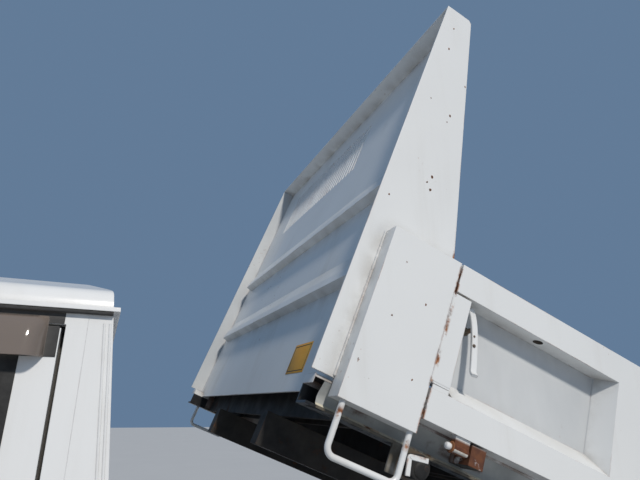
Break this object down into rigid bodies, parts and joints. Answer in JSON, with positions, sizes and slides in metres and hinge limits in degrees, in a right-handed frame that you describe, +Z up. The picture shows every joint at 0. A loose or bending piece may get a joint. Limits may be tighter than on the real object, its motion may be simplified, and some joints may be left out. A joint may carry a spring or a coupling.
{
  "type": "light cab-over dump truck",
  "caption": "Light cab-over truck with a rear-tipping bed, drop sides, ribbed headboard, tilting cab, steered front wheels and twin rear wheels.",
  "frame": {"origin": "on the ground, under the middle of the truck's box", "axes": "+X forward, +Y to the truck's left, +Z up"},
  "size_m": [4.8798, 2.06, 2.938],
  "materials": {
    "body_paint": "White gloss enamel of the cab and the tipping body, chalked and dusty",
    "frame_paint": "Matt black chassis paint with road dirt and rust",
    "steel": "Bare and greasy steel of the axles, springs and hoist",
    "rod_chrome": "Hard chromed hoist rod",
    "rim_paint": "Light grey wheel paint with brake dust",
    "tyre": "Black tyre rubber, dusty",
    "rubber": "Black moulded rubber",
    "glass": "Slightly green window glass",
    "lamp": "Clear and coloured lamp lenses",
    "black_plastic": "Black grained plastic",
    "seat_cloth": "Dark grey seat cloth",
    "cast": "Engine and gearbox castings"
  },
  "bodies": {
    "root": {"chassis_rails": "frame_paint", "chassis_cross_members": "frame_paint", "sub_frame": "frame_paint", "engine": "cast", "propeller_shaft": "steel", "front_axle": "steel", "rear_axle": "steel", "leaf_springs": "steel", "fuel_tank": "frame_paint", "battery_box": "frame_paint", "exhaust": "steel", "front_bumper": "body_paint", "rear_bar": "frame_paint", "tail_lamps": "lamp", "rear_mudguards": "rubber"},
    "steer_left": {"knuckle_left": "steel"},
    "steer_right": {"knuckle_right": "steel"},
    "steer_link": {"track_rod": "steel"},
    "wheel_front_left": {"front_tyre_left": "tyre", "front_rim_left": "rim_paint"},
    "wheel_front_right": {"front_tyre_right": "tyre", "front_rim_right": "rim_paint"},
    "wheels_rear_left": {"rear_tyres_left": "tyre", "rear_rims_left": "rim_paint"},
    "wheels_rear_right": {"rear_tyres_right": "tyre", "rear_rims_right": "rim_paint"},
    "bed": {"bed_sills": "frame_paint", "bed_cross_members": "frame_paint", "bed_floor": "body_paint", "side_rails": "body_paint", "stirrup_steps": "body_paint", "rubber_buffers": "rubber", "bed_posts": "body_paint", "headboard": "body_paint"},
    "gate_left": {"side_gate_left": "body_paint"},
    "gate_right": {"side_gate_right": "body_paint"},
    "gate_tail": {"tailgate": "body_paint"},
    "barrel": {"hoist_barrel": "steel"},
    "rod": {"hoist_rod": "rod_chrome"},
    "cab": {"cab_floor": "body_paint", "cab_front_panel": "body_paint", "cab_sides": "body_paint", "cab_back_panel": "body_paint", "cab_roof": "body_paint", "cab_glass": "glass", "headlamps": "lamp", "seats": "seat_cloth", "dashboard": "black_plastic", "steering_wheel": "black_plastic", "mirrors": "black_plastic"},
    "door_body_left": {"door_left": "body_paint", "door_glass_left": "glass"},
    "door_body_right": {"door_right": "body_paint", "door_glass_right": "glass"}
  },
  "joints": [
    {"name": "bed_tip", "type": "hinge", "parent": "root", "child": "bed", "pos_m": [-1.79, 0, 0.64], "axis": [0, -1, 0], "range_deg": [-21.7, 28.3]},
    {"name": "tailgate_swing", "type": "hinge", "parent": "bed", "child": "gate_tail", "pos_m": [-2.4084, 0, 1.04183], "axis": [0, 1, 0], "range_deg": [0, 60]},
    {"name": "gate_left_drop", "type": "hinge", "parent": "bed", "child": "gate_left", "pos_m": [-0.88212, 0.832, 1.17134], "axis": [-0.9291, 0, -0.3697], "range_deg": [0, 165]},
    {"name": "gate_right_drop", "type": "hinge", "parent": "bed", "child": "gate_right", "pos_m": [-0.88212, -0.832, 1.17134], "axis": [0.9291, 0, 0.3697], "range_deg": [0, 165]},
    {"name": "cab_tilt", "type": "hinge", "parent": "root", "child": "cab", "pos_m": [2.33, 0, 0.6], "axis": [0, 1, 0], "range_deg": [0, 40]},
    {"name": "door_left_swing", "type": "hinge", "parent": "cab", "child": "door_body_left", "pos_m": [2.16, 0.845, 1.2], "axis": [0, 0, -1], "range_deg": [0, 70]},
    {"name": "door_right_swing", "type": "hinge", "parent": "cab", "child": "door_body_right", "pos_m": [2.16, -0.845, 1.2], "axis": [0, 0, 1], "range_deg": [0, 70]},
    {"name": "steer_left_turn", "type": "hinge", "parent": "root", "child": "steer_left", "pos_m": [1.375, 0.6, 0.345], "axis": [0, 0, 1], "range_deg": [-35, 35]},
    {"name": "steer_right_turn", "type": "hinge", "parent": "root", "child": "steer_right", "pos_m": [1.375, -0.6, 0.345], "axis": [0, 0, 1], "range_deg": [-35, 35]},
    {"name": "steer_link_slide", "type": "slide", "parent": "root", "child": "steer_link", "axis": [0, -1, 0], "range_m": [-0.09, 0.09]},
    {"name": "wheel_front_left_spin", "type": "hinge", "parent": "steer_left", "child": "wheel_front_left", "pos_m": [1.375, 0.7, 0.345], "axis": [0, 1, 0], "continuous": true},
    {"name": "wheel_front_right_spin", "type": "hinge", "parent": "steer_right", "child": "wheel_front_right", "pos_m": [1.375, -0.7, 0.345], "axis": [0, 1, 0], "continuous": true},
    {"name": "wheels_rear_left_spin", "type": "hinge", "parent": "root", "child": "wheels_rear_left", "pos_m": [-1.115, 0.62, 0.345], "axis": [0, 1, 0], "continuous": true},
    {"name": "wheels_rear_right_spin", "type": "hinge", "parent": "root", "child": "wheels_rear_right", "pos_m": [-1.115, -0.62, 0.345], "axis": [0, 1, 0], "continuous": true},
    {"name": "barrel_swing", "type": "hinge", "parent": "root", "child": "barrel", "pos_m": [-1.44, 0, 0.52], "axis": [0, -1, 0], "range_deg": [-26, 34]},
    {"name": "rod_stroke", "type": "slide", "parent": "barrel", "child": "rod", "axis": [0.8439, 0, 0.5365], "range_m": [-0.12, 0.15]}
  ],
  "couplings": [
    {"joint": "steer_right_turn", "follows": "steer_left_turn", "ratio": 1},
    {"joint": "steer_link_slide", "follows": "steer_left_turn", "m_per_rad": 0.12},
    {"joint": "barrel_swing", "follows": "bed_tip", "ratio": 1.16},
    {"joint": "rod_stroke", "follows": "bed_tip", "m_per_rad": 0.29}
  ]
}
